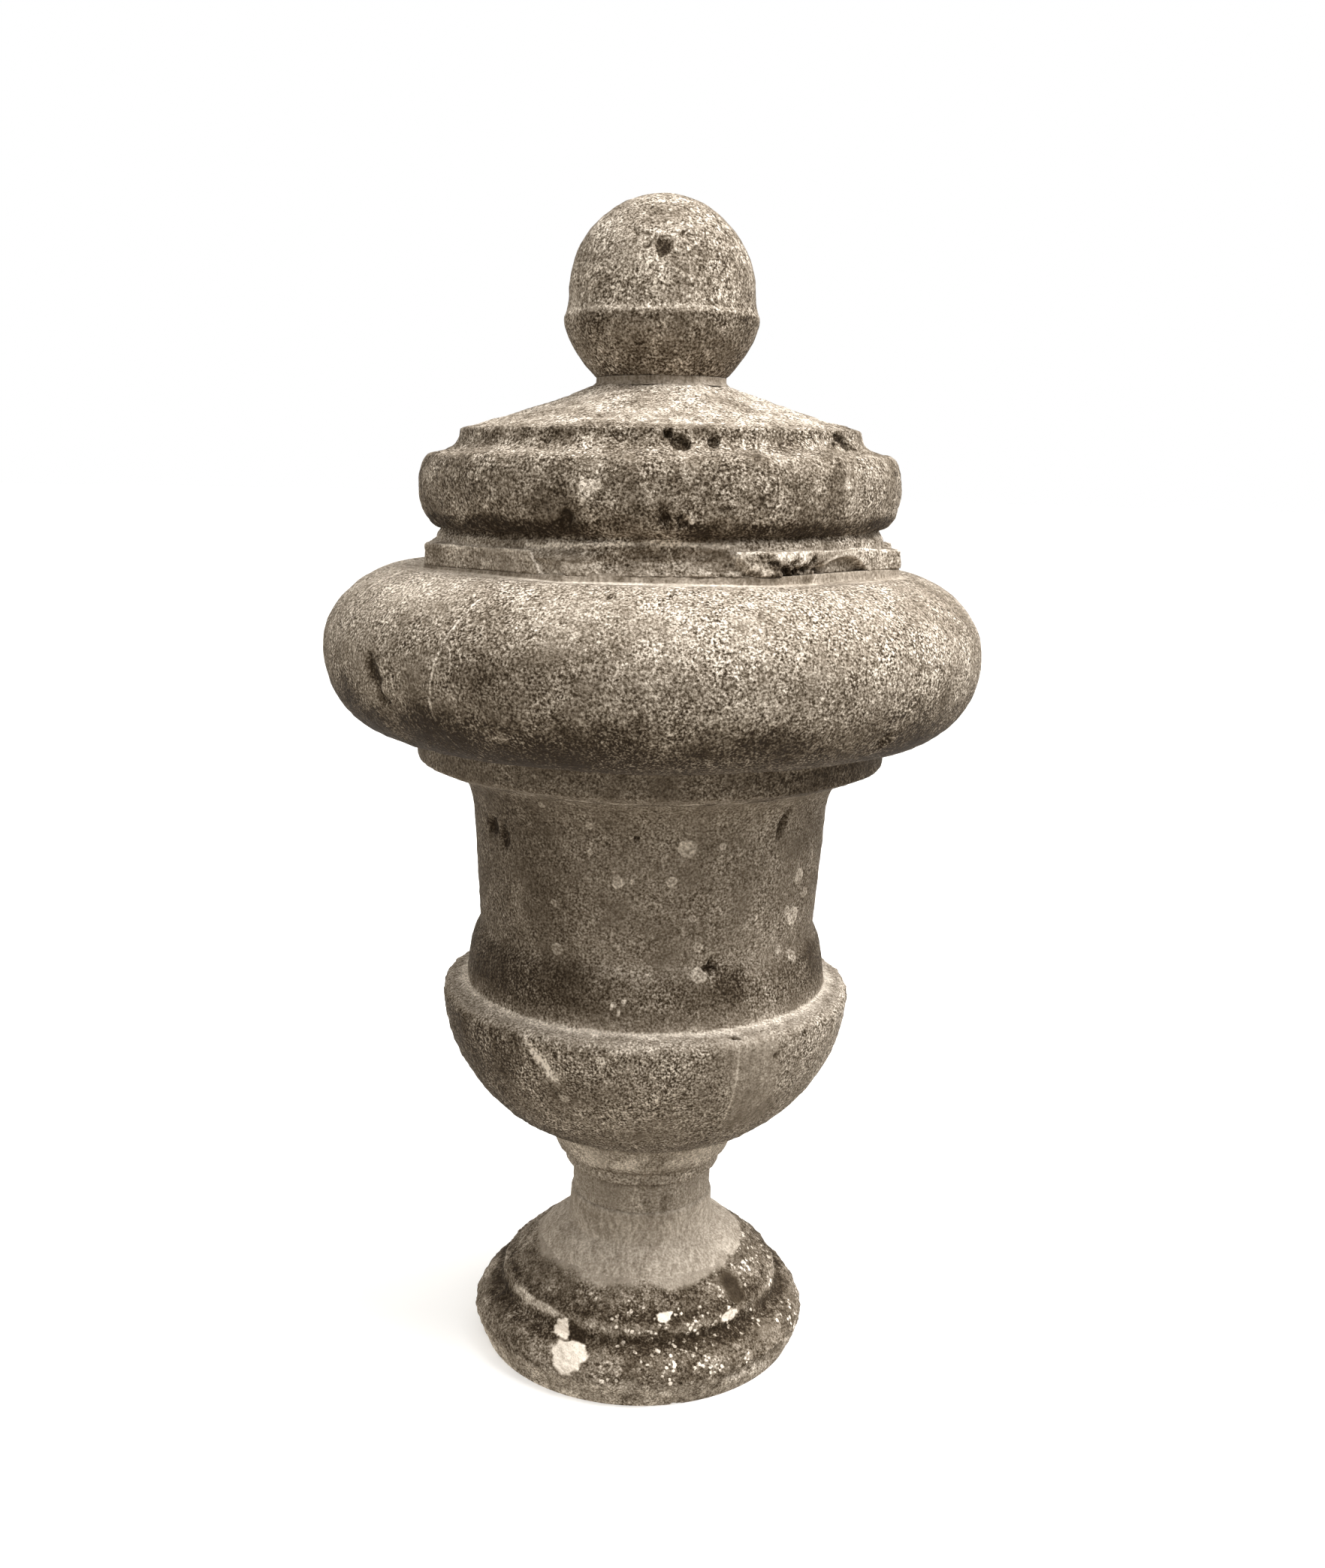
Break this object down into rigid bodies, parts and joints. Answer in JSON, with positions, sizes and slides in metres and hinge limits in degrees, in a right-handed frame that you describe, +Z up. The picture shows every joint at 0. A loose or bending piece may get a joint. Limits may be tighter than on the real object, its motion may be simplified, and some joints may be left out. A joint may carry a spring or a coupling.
{
  "type": "stone finial",
  "caption": "Weathered limestone finial in the form of a covered urn: moulded foot, bowl, neck, wide torus, offset lid with a broken eight-sided slab and a ridged ball knob.",
  "frame": {"origin": "centre of the foot's underside, on the surface that the finial stands on", "axes": "+Z up along the finial's axis, -Y towards the side with the broken slab"},
  "size_m": [0.495, 0.495, 0.8933],
  "materials": {
    "lichened_stone": "weathered limestone with dark algae and pale lichen",
    "stone": "weathered limestone, brown patina",
    "pale_stone": "weathered limestone, pale and speckled",
    "mortar": "smoothed lime mortar"
  },
  "bodies": {
    "root": {"foot": "lichened_stone", "foot_mortar": "mortar", "body": "stone", "lid_mortar": "mortar", "lid": "pale_stone", "ball_mortar": "mortar", "ball": "pale_stone"}
  },
  "joints": []
}
